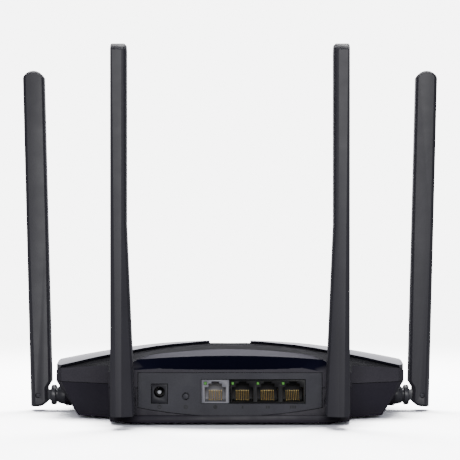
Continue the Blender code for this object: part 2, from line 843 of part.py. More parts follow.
def network_jack(name, centres, x, width, skin):
    """A network jack with a socket and a light window at each centre."""
    heights = (BOARD_TOP_Z + GAP, BOARD_TOP_Z + GAP + JACK_HEIGHT)
    jack = box(name, (x - width / 2, x + width / 2), (-JACK_PROUD, JACK_LENGTH), heights, skin)
    for index, centre in enumerate(centres):
        label = f"{name}_{index + 1}"
        window = box(f"{label}_window", *light_spans(centre, GAP))
        cut(jack, *socket_cutters(label, centre), window)
        contact_comb(f"{label}_contacts", centre)
        box(f"{label}_light", *light_spans(centre), green_light())


def contact_comb(name, x):
    """Eight sprung contacts on their carrier, low in a socket."""
    bottom = BOARD_TOP_Z + GAP + SOCKET_STEPS[0][1] + GAP
    half = CONTACT_PITCH * CONTACTS / 2
    comb = box(
        name, (x - half, x + half), (SOCKET_DEPTH - CARRIER_LENGTH, SOCKET_DEPTH - GAP),
        (bottom, bottom + CARRIER_HEIGHT), gold(),
    )
    bm = bmesh.new()
    for index in range(CONTACTS):
        spot = x + CONTACT_PITCH * (index - (CONTACTS - 1) / 2)
        low = Vector((spot, y_at(SOCKET_DEPTH - 2 * MM), bottom + FINGER_THICKNESS))
        high = Vector((spot, y_at(FINGER_FRONT), bottom + FINGER_RISE))
        lean = (high - low).to_track_quat("Y", "Z").to_matrix().to_4x4()
        size = Matrix.Diagonal((CONTACT_WIDTH, (high - low).length, FINGER_THICKNESS, 1.0))
        bmesh.ops.create_cube(bm, size=1.0, matrix=Matrix.Translation((low + high) / 2) @ lean @ size)
    join(comb, finish(bm, f"{name}_fingers"))


def power_inlet():
    """The square-faced inlet with its round hole and centre pin."""
    half = POWER_WIDTH / 2
    heights = (BOARD_TOP_Z + GAP, BOARD_TOP_Z + GAP + POWER_HEIGHT)
    inlet = box("power_inlet", (POWER_X - half, POWER_X + half), (0.0, POWER_LENGTH), heights, jack_black())
    rear = y_at(-2 * MM)
    hole_end = (POWER_X, y_at(POWER_HOLE_DEPTH), POWER_HOLE_Z)
    hole = rod("power_hole", (POWER_X, rear, POWER_HOLE_Z), hole_end, POWER_HOLE_RADIUS)
    root = (POWER_X, y_at(POWER_LENGTH + MM), POWER_HOLE_Z)
    bore = rod("power_pin_bore", (POWER_X, rear, POWER_HOLE_Z), root, POWER_PIN_RADIUS + GAP, segments=16)
    cut(inlet, hole, bore)
    pin_end = (POWER_X, y_at(POWER_LENGTH), POWER_HOLE_Z)
    rod(
        "power_inlet_pin", (POWER_X, y_at(0.8 * MM), POWER_HOLE_Z), pin_end, POWER_PIN_RADIUS, steel(),
        segments=16,
    )


def reset_button():
    """The button with its flange inside the panel, and the switch it presses."""
    flange_depth = PANEL_RECESS + PANEL_THICKNESS + 2 * GAP
    profile = [
        (0.0, 0.0),
        (0.0, BUTTON_RADIUS),
        (-flange_depth, BUTTON_RADIUS),
        (-flange_depth, BUTTON_FLANGE_RADIUS),
        (-flange_depth - MM, BUTTON_FLANGE_RADIUS),
        (-flange_depth - MM, BUTTON_RADIUS),
        (-BUTTON_LENGTH, BUTTON_RADIUS),
        (-BUTTON_LENGTH, 0.0),
    ]
    button = turned("reset_button", profile, panel_grey())
    button.location = (BUTTON_X, y_at(0.0), BUTTON_Z)
    button.rotation_euler = (0.0, 0.0, math.pi / 2)
    face = BUTTON_LENGTH + BUTTON_TRAVEL + GAP
    spans = (BUTTON_X - 3 * MM, BUTTON_X + 3 * MM), (face + 1.2 * MM, face + 4.7 * MM), (
        BOARD_TOP_Z + GAP, BUTTON_Z + 3 * MM
    )
    switch = box("reset_switch", *spans, jack_black())
    start = (BUTTON_X, y_at(face), BUTTON_Z)
    join(
        switch, rod(
            "switch_plunger", start, (BUTTON_X, y_at(face + 2 * MM), BUTTON_Z), 1.2 * MM, segments=16
        )
    )


def main_board():
    """The circuit board, narrower at the rear between the antenna spigots."""
    half = [
        (BOARD_REAR_HALF_WIDTH, 3.0 * MM),
        (BOARD_REAR_HALF_WIDTH, 14.0 * MM),
        (BOARD_REAR_HALF_WIDTH + 14.0 * MM, 32.0 * MM),
        (BOARD_HALF_WIDTH, 42.0 * MM),
        (BOARD_HALF_WIDTH, 96.0 * MM),
        (BOARD_HALF_WIDTH - 46.0 * MM, BOARD_FRONT_DEPTH),
    ]
    board = slab("main_board", closed(half), BOARD_TOP_Z - BOARD_THICKNESS, BOARD_TOP_Z, board_green())
    for index, (x, depth) in enumerate(BOARD_SCREWS):
        span = (BOARD_TOP_Z - 2 * BOARD_THICKNESS, BOARD_TOP_Z + MM)
        cut(board, post(f"board_hole_{index}", x, depth, span, BOARD_SCREW_RADIUS + GAP, segments=14))


def board_parts():
    """What stands on the board."""
    base = BOARD_TOP_Z + GAP
    half = CHIP_SIZE / 2
    depths = (CHIP_DEPTH - half, CHIP_DEPTH + half)
    box("processor", (-half, half), depths, (base, base + CHIP_HEIGHT), jack_black())
    pad_base = base + CHIP_HEIGHT + GAP
    box("thermal_pad", (-half, half), depths, (pad_base, pad_base + PAD_HEIGHT), panel_grey())
    heat_sink(pad_base + PAD_HEIGHT + GAP)
    height = (base, base + TRANSFORMER_HEIGHT)
    for name, x, half in (("wan", WAN_X, WAN_TRANSFORMER_HALF), ("lan", LAN_X, LAN_TRANSFORMER_HALF)):
        box(f"{name}_transformer", (x - half, x + half), TRANSFORMER_SPAN, height, jack_black())
    post(
        "capacitor", POWER_X, CAPACITOR_DEPTH, (base, base + CAPACITOR_HEIGHT), CAPACITOR_RADIUS, aluminium(
            
        )
    )
    radio_shield(base)
    across = (-STATUS_LIGHT_HALF, STATUS_LIGHT_HALF)
    box("status_light", across, STATUS_LIGHT_SPAN, (base, base + STATUS_LIGHT_HEIGHT), green_light())
    near, far = STATUS_LIGHT_SPAN
    across = (-LIGHT_PIPE_HALF, LIGHT_PIPE_HALF)
    along = (near - MM, BODY_DEPTH - LIGHT_PIPE_NOSE_GAP)
    pipe = box("light_pipe", across, along, light_pipe_span(0.0), clear_plastic())
    leg_along = (near - 0.5 * MM, far + 0.5 * MM)
    leg_height = (base + STATUS_LIGHT_HEIGHT + GAP, LIGHT_PIPE_Z)
    leg = box("light_pipe_leg", (MM - LIGHT_PIPE_HALF, LIGHT_PIPE_HALF - MM), leg_along, leg_height)
    join(pipe, leg)


def heat_sink(base):
    """A finned block over the processor."""
    half = SINK_SIZE / 2
    depths = (CHIP_DEPTH - half, CHIP_DEPTH + half)
    sink = box("heat_sink", (-half, half), depths, (base, base + SINK_BASE), aluminium())
    bm = bmesh.new()
    for index in range(SINK_FINS):
        x = -half + 1 * MM + index * (SINK_SIZE - 2 * MM) / (SINK_FINS - 1)
        spot = Matrix.Translation((x, y_at(CHIP_DEPTH), base + (SINK_HEIGHT + 0.5 * MM) / 2))
        size = Matrix.Diagonal((1.4 * MM, SINK_SIZE - 2 * MM, SINK_HEIGHT - 0.5 * MM, 1.0))
        bmesh.ops.create_cube(bm, size=1.0, matrix=spot @ size)
    join(sink, finish(bm, "fins"))


def radio_shield(base):
    """A pressed can over the radio, open below."""
    bm = bmesh.new()
    bmesh.ops.create_cube(bm, size=1.0)
    bmesh.ops.scale(bm, vec=SHIELD_SIZE, verts=bm.verts)
    bmesh.ops.translate(bm, vec=(SHIELD_X, y_at(CHIP_DEPTH), base + SHIELD_SIZE[2] / 2), verts=bm.verts)
    under = [face for face in bm.faces if face.normal.z < -0.5]
    bmesh.ops.delete(bm, geom=under, context="FACES_ONLY")
    mesh = bpy.data.meshes.new("radio_shield")
    bm.to_mesh(mesh)
    bm.free()
    shield = place("radio_shield", mesh, steel())
    solid = shield.modifiers.new("sheet", "SOLIDIFY")
    solid.thickness = SHIELD_SHEET
    solid.offset = -1.0
    solid.use_even_offset = True


def screw(name, x, depth, head_z, tip_z, shank, head, skin):
    """A pan-head screw between its head's outer face and its tip."""
    up = 1 if tip_z > head_z else -1
    under = head_z + up * SCREW_HEAD_HEIGHT
    profile = [(0.0, 0.0), (0.0, head), (-abs(under - head_z), head), (-abs(under - head_z), shank)]
    profile += [
        (-abs(tip_z - head_z) + shank, shank), (-abs(tip_z - head_z), 0.3 * shank),
        (-abs(tip_z - head_z), 0.0),
    ]
    made = turned(name, profile, skin, steps=12)
    made.location = (x, y_at(depth), head_z)
    made.rotation_euler = (0.0, up * math.pi / 2, 0.0)
    return made


def screws_and_feet():
    """Board screws from above, case screws from below, and the rubber feet."""
    for index, (x, depth) in enumerate(BOARD_SCREWS):
        head_z = BOARD_TOP_Z + GAP + SCREW_HEAD_HEIGHT
        screw(
            f"board_screw_{index + 1}", x, depth, head_z, FLOOR_Z + 2 * WALL + GAP, BOARD_SCREW_RADIUS,
            BOARD_SCREW_HEAD, steel(),
        )
    for name, x, depth in case_screw_places():
        head_z = FLOOR_Z + COUNTERBORE_DEPTH - GAP - SCREW_HEAD_HEIGHT
        screw(
            f"case_screw_{name}", x, depth, head_z, CASE_SCREW_TOP_Z, CASE_SCREW_RADIUS, CASE_SCREW_HEAD,
            steel(),
        )
    for row, x, depth in FOOT_PLACES:
        for name, side in SIDES:
            post(f"foot_{row}_{name}", side * x, depth, (0.0, FOOT_THICKNESS), FOOT_RADIUS, rubber())


def lead(name, points):
    """A thin coaxial lead along hand-chosen points."""
    curve = bpy.data.curves.new(name, "CURVE")
    curve.dimensions = "3D"
    curve.bevel_depth = LEAD_RADIUS
    curve.bevel_resolution = 2
    curve.use_fill_caps = True
    spline = curve.splines.new("POLY")
    spline.points.add(len(points) - 1)
    for corner, point in zip(spline.points, points):
        corner.co = (*point, 1.0)
    wire = bpy.data.objects.new(name, curve)
    collection("cutters").objects.link(wire)
    meshed(wire, rubber())


def curved_route(start, start_way, end, end_way, count=9):
    """Points along a smooth curve that leaves and arrives along two directions."""
    handles = [start, start + start_way, end + end_way, end]
    points = []
    for index in range(count):
        t = index / (count - 1)
        weights = ((1 - t) ** 3, 3 * t * (1 - t) ** 2, 3 * t * t * (1 - t), t ** 3)
        points.append(sum((weight * handle for weight, handle in zip(weights, handles)), Vector()))
    return points


def antenna_leads():
    """A lead from the board to the bore of each spigot."""
    for name, side, pin, turn, _ in antenna_places():
        outward = Vector((math.cos(turn), math.sin(turn), 0.0))
        end = pin - outward * (SPIGOT_END - 3 * MM)
        inner = name.endswith("inner")
        x, depth = LEAD_STARTS["inner" if inner else "outer"]
        start = Vector((side * x, y_at(depth), BOARD_TOP_Z + GAP + LEAD_RADIUS + LEAD_LIFT))
        leave = Vector((0.0, 5 * MM, 2 * MM)) if inner else Vector((side * 6 * MM, 0.0, 5 * MM))
        lead(f"lead_{name}", curved_route(start, leave, end, -outward * 11 * MM))


def blade_outline():
    """The blade's broad outline in (x, z), x pointing away from the body."""
    near, far, below = -BLADE_NEAR, BLADE_FAR, -BLADE_BELOW_PIN
    points = [(far, below), (0.0, below)]
    drop = math.acos(CHEEK_CUT / BLADE_BELOW_PIN)
    for step in range(1, 5):
        angle = math.pi / 2 + (math.pi / 2 - drop) * step / 4
        points.append((BLADE_BELOW_PIN * math.cos(angle), -BLADE_BELOW_PIN * math.sin(angle)))
    points += [(-CHEEK_CUT, SLOT_TOP - 0.6 * MM), (near, SLOT_TOP + 3.2 * MM)]
    width = far - near
    radius = (width ** 2 / 4 + BLADE_TIP_SAG ** 2) / (2 * BLADE_TIP_SAG)
    centre_x, centre_z = (far + near) / 2, BLADE_ABOVE_PIN - radius
    reach = math.asin(width / 2 / radius)
    for step in range(9):
        angle = reach * (step / 4 - 1)
        points.append((centre_x + radius * math.sin(angle), centre_z + radius * math.cos(angle)))
    return points[::-1]


def blade_front(z):
    """How far the blade's flared face stands from the pin's plane at a height."""
    share = min(max((BLADE_FLARE_Z - z) / (BLADE_FLARE_Z + BLADE_BELOW_PIN), 0.0), 1.0)
    return BLADE_FRONT_TOP + (BLADE_FRONT_BASE - BLADE_FRONT_TOP) * share


def ridge_planes():
    """The two planes that leave a flat ridge along the blade's far edge: a point on each and its normal."""
    front = (
        Vector((BLADE_FAR, RIDGE_FRONT, 0.0)), Vector((math.cos(RIDGE_SLOPE), math.sin(RIDGE_SLOPE), 0.0))
    )
    foot = Vector((BLADE_FAR, RIDGE_BACK_FOOT, -BLADE_BELOW_PIN))
    tip = Vector((BLADE_FAR, RIDGE_BACK_TIP, BLADE_ABOVE_PIN))
    down_slope = Vector((-math.sin(RIDGE_BACK_SLOPE), -math.cos(RIDGE_BACK_SLOPE), 0.0))
    normal = (tip - foot).cross(down_slope).normalized()
    return front, (foot, normal if normal.x > 0 else -normal)


def blade(name, hand):
    """One hollow antenna blade in its own frame: pin at the origin, x away from the body."""
    stand = Matrix.Rotation(math.pi / 2, 4, "X")
    shell = slab(name, blade_outline(), -BLADE_BACK, BLADE_BACK, blade_black(), stand)
    bm = bmesh.new()
    bm.from_mesh(shell.data)
    bmesh.ops.dissolve_limit(bm, angle_limit=math.radians(1), verts=bm.verts, edges=bm.edges)
    cut_here = dict(plane_co=(0.0, 0.0, BLADE_FLARE_Z), plane_no=(0.0, 0.0, 1.0))
    bmesh.ops.bisect_plane(bm, geom=bm.verts[:] + bm.edges[:] + bm.faces[:], dist=0.01 * MM, **cut_here)
    for vert in bm.verts:
        vert.co.y = -BLADE_BACK if vert.co.y < 0 else blade_front(vert.co.z)
    for place, normal in ridge_planes():
        whole = bm.verts[:] + bm.edges[:] + bm.faces[:]
        cut_off = bmesh.ops.bisect_plane(
            bm, geom=whole, dist=0.01 * MM, plane_co=place, plane_no=normal, clear_outer=True
        )
        rim = [item for item in cut_off["geom_cut"] if isinstance(item, bmesh.types.BMEdge)]
        bmesh.ops.holes_fill(bm, edges=rim)
    bmesh.ops.recalc_face_normals(bm, faces=bm.faces)
    bm.normal_update()
    for rear, width in ((False, BLADE_FRONT_BEVEL), (True, BLADE_BACK_BEVEL)):
        rim = [edge for edge in bm.edges if is_rim(edge, rear)]
        bmesh.ops.bevel(
            bm, geom=rim, offset=width, offset_type="WIDTH", segments=1, profile=0.5, affect="EDGES"
        )
    for vert in bm.verts:
        vert.co.y *= hand
    bmesh.ops.recalc_face_normals(bm, faces=bm.faces)
    bm.to_mesh(shell.data)
    bm.free()
    shell.data.shade_smooth()
    shell.data.set_sharp_from_angle(angle=math.radians(20))
    slot_low = (-BLADE_NEAR - 2 * MM, -SLOT_HALF_WIDTH, -BLADE_BELOW_PIN - 2 * MM)
    slot_high = (BLADE_FAR - FAR_WALL, SLOT_HALF_WIDTH, SLOT_TOP)
    slot = local_box(f"{name}_slot", slot_low, slot_high)
    back, front = BLADE_BACK - BLADE_SHELL, BLADE_FRONT_TOP - BLADE_SHELL
    sides = (-back, front) if hand > 0 else (-front, back)
    cavity_low = (-BLADE_NEAR + BLADE_SHELL, sides[0], SLOT_TOP - MM)
    cavity = local_box(f"{name}_cavity", cavity_low, (BLADE_FAR - BLADE_SHELL, sides[1], CAVITY_TOP))
    hole = rod(
        f"{name}_pin_hole", (0.0, -2 * BLADE_BACK, 0.0), (0.0, 2 * BLADE_BACK, 0.0), PIN_RADIUS + GAP,
        segments=16,
    )
    cut(shell, slot, cavity, hole)
    return shell, (slot, cavity, hole)


def is_rim(edge, rear):
    """Whether an edge borders the blade's flared face, or its back."""
    if len(edge.link_faces) != 2:
        return False
    faces = [face.normal.y for face in edge.link_faces]
    broad = min(faces) < -0.9 if rear else max(faces) > 0.9
    return broad and min(abs(value) for value in faces) < 0.5


def local_box(name, low, high):
    """A cutter block given by two corners in its own frame."""
    bm = bmesh.new()
    bmesh.ops.create_cube(bm, size=1.0)
    low, high = Vector(low), Vector(high)
    bmesh.ops.scale(bm, vec=high - low, verts=bm.verts)
    bmesh.ops.translate(bm, vec=(high + low) / 2, verts=bm.verts)
    return finish(bm, name)


def swivel_base(name):
    """Disc, neck, cone and spigot turned about the socket's axis, with the tongue on the disc."""
    disc_end = DISC_NEAR + DISC_THICKNESS
    neck_end = disc_end + NECK_LENGTH
    cone_end = REACH - GAP
    chamfer = 0.5 * MM
    profile = [
        (-DISC_NEAR, 0.0),
        (-DISC_NEAR, DISC_RADIUS - chamfer),
        (-DISC_NEAR - chamfer, DISC_RADIUS),
        (-disc_end + chamfer, DISC_RADIUS),
        (-disc_end, DISC_RADIUS - chamfer),
        (-disc_end, NECK_RADIUS),
        (-neck_end, NECK_RADIUS),
        (-neck_end, CONE_RADIUS),
        (-cone_end, DISC_RADIUS),
        (-cone_end, SPIGOT_RADIUS),
        (-BARB_START, SPIGOT_RADIUS),
        (-BARB_START, BARB_RADIUS),
        (-SPIGOT_END, SPIGOT_RADIUS - chamfer),
        (-SPIGOT_END, SPIGOT_BORE),
        (-disc_end, SPIGOT_BORE),
        (-disc_end, 0.0),
    ]
    base = turned(name, profile, hinge_grey())
    outline = [(-DISC_NEAR - chamfer, -TONGUE_HALF_HEIGHT - MM), (-DISC_NEAR, -TONGUE_HALF_HEIGHT - MM)]
    outline += [(-DISC_NEAR + 0.8 * MM, -TONGUE_HALF_HEIGHT), (0.0, -EYE_RADIUS)]
    for step in range(1, 12):
        angle = math.pi * step / 12 - math.pi / 2
        outline.append((EYE_RADIUS * math.cos(angle), EYE_RADIUS * math.sin(angle)))
    outline += [(x, -z) for x, z in outline[3::-1]]
    stand = Matrix.Rotation(math.pi / 2, 4, "X")
    half = SLOT_HALF_WIDTH - GAP
    tongue = slab(f"{name}_tongue", outline, -half, half, turn=stand)
    eye = rod(f"{name}_eye", (0.0, -2 * half, 0.0), (0.0, 2 * half, 0.0), PIN_RADIUS + GAP, segments=16)
    join(base, tongue)
    cut(base, eye)
    return base, (tongue, eye)


def axis_empty(name, matrix, parent=None):
    """An empty that marks a joint's axis."""
    empty = bpy.data.objects.new(name, None)
    collection("wireless_router").objects.link(empty)
    empty.parent = parent
    empty.matrix_local = matrix
    return empty


def antenna(name, hand, pin, turn, lean):
    """One antenna: swivel base, pin, blade and the strip inside it."""
    swivel = axis_empty(f"axis_swivel_{name}", Matrix.Translation(pin) @ Matrix.Rotation(turn, 4, "Z"))
    tilt = axis_empty(f"axis_tilt_{name}", Matrix.Rotation(lean, 4, "Y"), swivel)
    base, base_tools = swivel_base(f"swivel_base_{name}")
    shell, shell_tools = blade(f"antenna_blade_{name}", hand)
    back, front = -BLADE_BACK + 1.2 * MM, BLADE_FRONT_BASE - 1.2 * MM
    if hand < 0:
        back, front = -front, -back
    pin_rod = rod(
        f"hinge_pin_{name}", (0.0, back, 0.0), (0.0, front, 0.0), PIN_RADIUS, steel(), segments=16
    )
    strip = local_box(f"radiating_strip_{name}", *strip_corners(hand))
    collection("cutters").objects.unlink(strip)
    strip.hide_render = False
    strip.display_type = "TEXTURED"
    collection("wireless_router").objects.link(strip)
    strip.data.materials.append(board_green())
    for part in (base, *base_tools):
        part.parent = swivel
    for part in (shell, pin_rod, strip, *shell_tools):
        part.parent = tilt


def strip_corners(hand):
    """The radiating strip's two corners, close to the back of the blade's cavity."""
    centre = (BLADE_FAR - BLADE_NEAR) / 2
    near_back = BLADE_BACK - BLADE_SHELL - 2 * MM
    y_span = sorted((-hand * near_back, -hand * (near_back - STRIP_THICKNESS)))
    low = (centre - STRIP_WIDTH / 2, y_span[0], STRIP_RANGE[0])
    high = (centre + STRIP_WIDTH / 2, y_span[1], STRIP_RANGE[1])
    return low, high


def build():
    for existing in list(bpy.data.objects):
        bpy.data.objects.remove(existing)
    bottom_case()
    top_case()
    wing_plates()
    port_panel()
    network_jack("wan_jack", [WAN_X], WAN_X, WAN_WIDTH, jack_grey())
    network_jack("lan_jack", lan_centres(), LAN_X, LAN_WIDTH, jack_black())
    power_inlet()
    reset_button()
    main_board()
    board_parts()
    screws_and_feet()
    for place_of_antenna in antenna_places():
        antenna(*place_of_antenna)
    antenna_leads()


build()
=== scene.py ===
# %% [markdown]
# # A four-antenna wireless router, seen from the socket side
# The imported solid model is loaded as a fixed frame. Its parts keep their shapes and get
# real finishes, the finest visible details are added as new pieces, and a camera and a
# soft studio are set up around it. All lengths are metres, and +Z is up. The sockets
# face +Y, so the camera stands behind the router.

# %% Load the frame
import math

import bmesh
import bpy
from mathutils import Matrix, Vector


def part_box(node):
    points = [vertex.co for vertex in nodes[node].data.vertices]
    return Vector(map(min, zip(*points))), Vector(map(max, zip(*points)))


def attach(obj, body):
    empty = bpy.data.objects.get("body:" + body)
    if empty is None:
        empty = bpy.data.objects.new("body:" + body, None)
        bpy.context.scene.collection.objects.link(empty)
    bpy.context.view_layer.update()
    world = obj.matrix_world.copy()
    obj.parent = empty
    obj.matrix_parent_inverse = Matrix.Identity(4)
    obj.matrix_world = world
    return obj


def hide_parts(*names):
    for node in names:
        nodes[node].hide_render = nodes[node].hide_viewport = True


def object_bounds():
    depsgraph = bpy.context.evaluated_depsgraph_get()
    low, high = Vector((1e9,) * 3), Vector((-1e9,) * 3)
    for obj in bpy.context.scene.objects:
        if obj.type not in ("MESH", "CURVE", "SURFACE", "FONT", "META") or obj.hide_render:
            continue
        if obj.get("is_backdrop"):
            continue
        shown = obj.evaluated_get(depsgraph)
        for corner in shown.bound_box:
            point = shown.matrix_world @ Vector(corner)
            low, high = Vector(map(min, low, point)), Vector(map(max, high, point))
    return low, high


MM = 0.001
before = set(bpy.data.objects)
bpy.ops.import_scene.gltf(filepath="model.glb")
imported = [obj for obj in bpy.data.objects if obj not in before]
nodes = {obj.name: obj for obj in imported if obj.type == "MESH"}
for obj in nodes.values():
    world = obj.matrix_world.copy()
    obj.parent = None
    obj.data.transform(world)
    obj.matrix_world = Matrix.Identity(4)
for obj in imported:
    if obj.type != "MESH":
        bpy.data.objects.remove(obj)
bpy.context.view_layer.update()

# %% [markdown]
# ## Two small helpers for finishes
# Colours are written the way a paint shop writes them, as hex values, and turned to the
# linear values a shader works in. The second helper adds one shader node, sets its
# settings and joins its inputs, so that each finish below reads from top to bottom.

# %% Colour and node helpers
def linear(hex_colour):
    """A hex colour as four linear values."""
    steps = [int(hex_colour[i:i + 2], 16) / 255 for i in (1, 3, 5)]
    return tuple(c / 12.92 if c <= 0.04045 else ((c + 0.055) / 1.055) ** 2.4 for c in steps) + (1.0,)


def add(tree, kind, inputs=None, **settings):
    """One shader node. An input is a plain value, or (node, output name) for a link."""
    node = tree.nodes.new("ShaderNode" + kind)
    for key, value in settings.items():
        setattr(node, key, value)
    for key, value in (inputs or {}).items():
        if isinstance(value, tuple) and isinstance(value[0], bpy.types.Node):
            tree.links.new(value[0].outputs[value[1]], node.inputs[key])
        else:
            node.inputs[key].default_value = value
    return node


def new_finish(name):
    """An empty material: (material, its node tree, its output node)."""
    material = bpy.data.materials.new(name)
    material.use_nodes = True
    material.node_tree.nodes.clear()
    return material, material.node_tree, add(material.node_tree, "OutputMaterial")


print("router black is", [round(v, 4) for v in linear("#232328")])

# %% [markdown]
# ## Spark-eroded plastic
# Nearly every black part of a router is ABS, moulded against steel that sparks have
# roughened. The eye reads it as matt with a faint sparkle: a fine grain that scatters the
# highlight, over very slight tone changes a few centimetres wide where hands have polished
# it. The real grain is about 0.1 mm. That is finer than the picture can show, so it is
# drawn several times coarser, and shallow. One recipe serves all the moulded parts, with
# the two tones, the gloss and the grain given for each.

# %% Moulded plastic recipe
TONE_PATCH = 28 * MM
WEAR_PATCH = 9 * MM


def moulded(name, deep, pale, smoothest, roughest, grain, depth, ior=1.5, shine=0.5):
    """Spark-eroded plastic between two tones, with a grain size and depth in metres.

    Shine is half for a plain moulding, and less where the roughened skin traps the light."""
    material, tree, out = new_finish(name)
    place = add(tree, "TexCoord")
    tone = add(tree, "TexNoise", {"Vector": (place, "Object"), "Scale": 1 / TONE_PATCH, "Detail": 4.0})
    fine = add(tree, "TexNoise", {"Vector": (place, "Object"), "Scale": 1 / grain, "Detail": 2.0})
    wear = add(tree, "TexNoise", {"Vector": (place, "Object"), "Scale": 1 / WEAR_PATCH, "Detail": 5.0})
    both = add(tree, "Mix", {0: 0.45, 2: (tone, "Fac"), 3: (fine, "Fac")}, data_type="FLOAT")
    ramp = add(tree, "ValToRGB", {"Fac": (both, 0)})
    ramp.color_ramp.elements[0].position = 0.32
    ramp.color_ramp.elements[0].color = linear(deep)
    ramp.color_ramp.elements[1].position = 0.68
    ramp.color_ramp.elements[1].color = linear(pale)
    rough = add(tree, "MapRange", {"Value": (wear, "Fac"), "From Min": 0.3, "From Max": 0.7,
                                   "To Min": smoothest, "To Max": roughest})
    bump = add(tree, "Bump", {"Height": (fine, "Fac"), "Strength": 0.5, "Distance": depth})
    skin = add(tree, "BsdfPrincipled", {"Base Color": (ramp, "Color"), "Roughness": (rough, "Result"),
                                        "Normal": (bump, "Normal"), "IOR": ior,
                                        "Specular IOR Level": shine})
    tree.links.new(skin.outputs["BSDF"], out.inputs["Surface"])
    return material


# The cases: the deck's skin is the roughest, so it hardly shines, and the hull is deeper.
deck_abs = moulded("ABS moulded, deck", "#3B393F", "#49474D", 0.60, 0.75, 0.7 * MM, 0.05 * MM,
                   ior=1.2, shine=0.15)
hull_abs = moulded("ABS moulded, hull", "#211E27", "#2C2933", 0.46, 0.60, 0.7 * MM, 0.05 * MM,
                   shine=0.3)
# The antennas have a finer, more even skin, and the socket panel is a shade paler.
antenna_abs = moulded("ABS moulded, antenna", "#2B2A31", "#323138", 0.50, 0.55, 0.6 * MM, 0.04 * MM)
panel_abs = moulded("ABS moulded, socket panel", "#2F2F36", "#3A3A42", 0.50, 0.64, 0.6 * MM, 0.04 * MM,
                    shine=0.35)
# Nylon for the hinges is slightly waxy: paler and smoother than the ABS beside it.
hinge_nylon = moulded("nylon moulded, hinge", "#34343A", "#434349", 0.34, 0.48, 0.5 * MM, 0.03 * MM)
# Glass-filled PBT for the sockets: light grey for the single one, near black for the others.
grey_pbt = moulded("PBT moulded, grey socket", "#707078", "#82828A", 0.34, 0.48, 0.5 * MM, 0.02 * MM)
black_pbt = moulded("PBT moulded, black socket", "#08080A", "#101013", 0.40, 0.54, 0.5 * MM, 0.02 * MM,
                    shine=0.25)
inlet_pbt = moulded("PBT moulded, power inlet", "#26262B", "#313137", 0.42, 0.56, 0.5 * MM, 0.02 * MM,
                    shine=0.25)
# Pad-printed ink is flat and darker than the panel that it lies on.
print_ink = moulded("ink, pad printed", "#0C0C0F", "#151519", 0.55, 0.70, 0.5 * MM, 0.01 * MM)
# Silicone rubber takes no shine at all, and the filled thermal pad is a chalky blue grey.
foot_rubber = moulded("silicone rubber moulded, foot", "#18181A", "#232325", 0.70, 0.86, 0.4 * MM,
                      0.05 * MM, ior=1.42)
pad_silicone = moulded("filled silicone, thermal pad", "#8E97A3", "#A3ABB5", 0.65, 0.80, 0.5 * MM,
                       0.04 * MM, ior=1.42)
# Chip epoxy is satin black, and the leads' extruded jacket is the smoothest of all.
chip_epoxy = moulded("epoxy moulded, chip", "#121213", "#1C1C1E", 0.38, 0.50, 0.3 * MM, 0.02 * MM)
lead_jacket = moulded("FEP extruded, aerial lead", "#1C1C1F", "#28282C", 0.24, 0.36, 0.8 * MM,
                      0.01 * MM, ior=1.34)
print("moulded finishes made")

# %% [markdown]
# ## Painted shade and highlight by place
# The deck's colour carries painted shade and a painted highlight, in three tones. Its face
# under the rear lip looks down at the table and is painted a deep, bluish black as shade.
# Its top is painted nearly as dark, as shade, and the sloping ledge behind the panel's face
# is painted as a paler crescent, a highlight. The face's own direction, or its place in Y,
# picks each of them out. The hull's underside is painted darker as shade too, and the bore
# of the power inlet is black, because hardly any light gets in.

# %% Painted shade and highlight that follow the direction or the place
def shade_where(material, colour_there, source, output, axis, start, end):
    """Turns the colour to the one given as one axis of a vector goes from start to end."""
    tree = material.node_tree
    skin = next(node for node in tree.nodes if node.type == "BSDF_PRINCIPLED")
    before = skin.inputs["Base Color"].links[0]
    parts = add(tree, "SeparateXYZ", {"Vector": (add(tree, source), output)})
    there = add(tree, "MapRange", {"Value": (parts, axis), "From Min": start, "From Max": end})
    both = add(tree, "Mix", {0: (there, "Result"), 6: (before.from_node, before.from_socket.name),
                             7: linear(colour_there)}, data_type="RGBA")
    tree.links.new(both.outputs[2], skin.inputs["Base Color"])


def shade_facing(material, colour_there, start, end):
    """A tone that comes in as the normal's Z goes from start to end."""
    shade_where(material, colour_there, "NewGeometry", "Normal", "Z", start, end)


def shade_beyond(material, colour_there, line, fade):
    """A tone for what lies past a line in Y, coming in over the fade."""
    shade_where(material, colour_there, "TexCoord", "Object", "Y", line, line + fade)


LEDGE_HIGHLIGHT_FADE = 1.5 * MM
BORE_START = 0.2 * MM
BORE_FADE = -1.0 * MM
# Painted shade: where the deck's top faces up, it turns near black.
shade_facing(deck_abs, "#0B0B10", 0.86, 0.94)
# Painted highlight: the ledge past the panel's face is painted as a paler crescent.
shade_beyond(deck_abs, "#605F66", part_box("port_panel")[1].y, LEDGE_HIGHLIGHT_FADE)
# Painted shade: the face under the rear lip, which looks down, turns a deep bluish black.
shade_facing(deck_abs, "#0E0F20", -0.02, -0.12)
# Painted shade: the hull turns darker where it faces down.
shade_facing(hull_abs, "#0B0A12", -0.55, -0.95)
shade_beyond(inlet_pbt, "#050506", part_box("power_inlet")[1].y - BORE_START, BORE_FADE)
print("deck, hull and power inlet toned by place")

# %% [markdown]
# ## Polished plastic
# The two wings are moulded against polished steel. Polished black plastic is almost a
# mirror at a low angle, and that is why the wings look pale from behind although they are
# black. Up close the polish shows wiping marks: very fine, long, faint scratches. They are
# made as a noise that is stretched along the router's length, and they change only the
# gloss and a trace of the surface height.

# %% Polished wing plastic
WIPE_WIDTH = 0.8 * MM
WIPE_LENGTH = 26 * MM


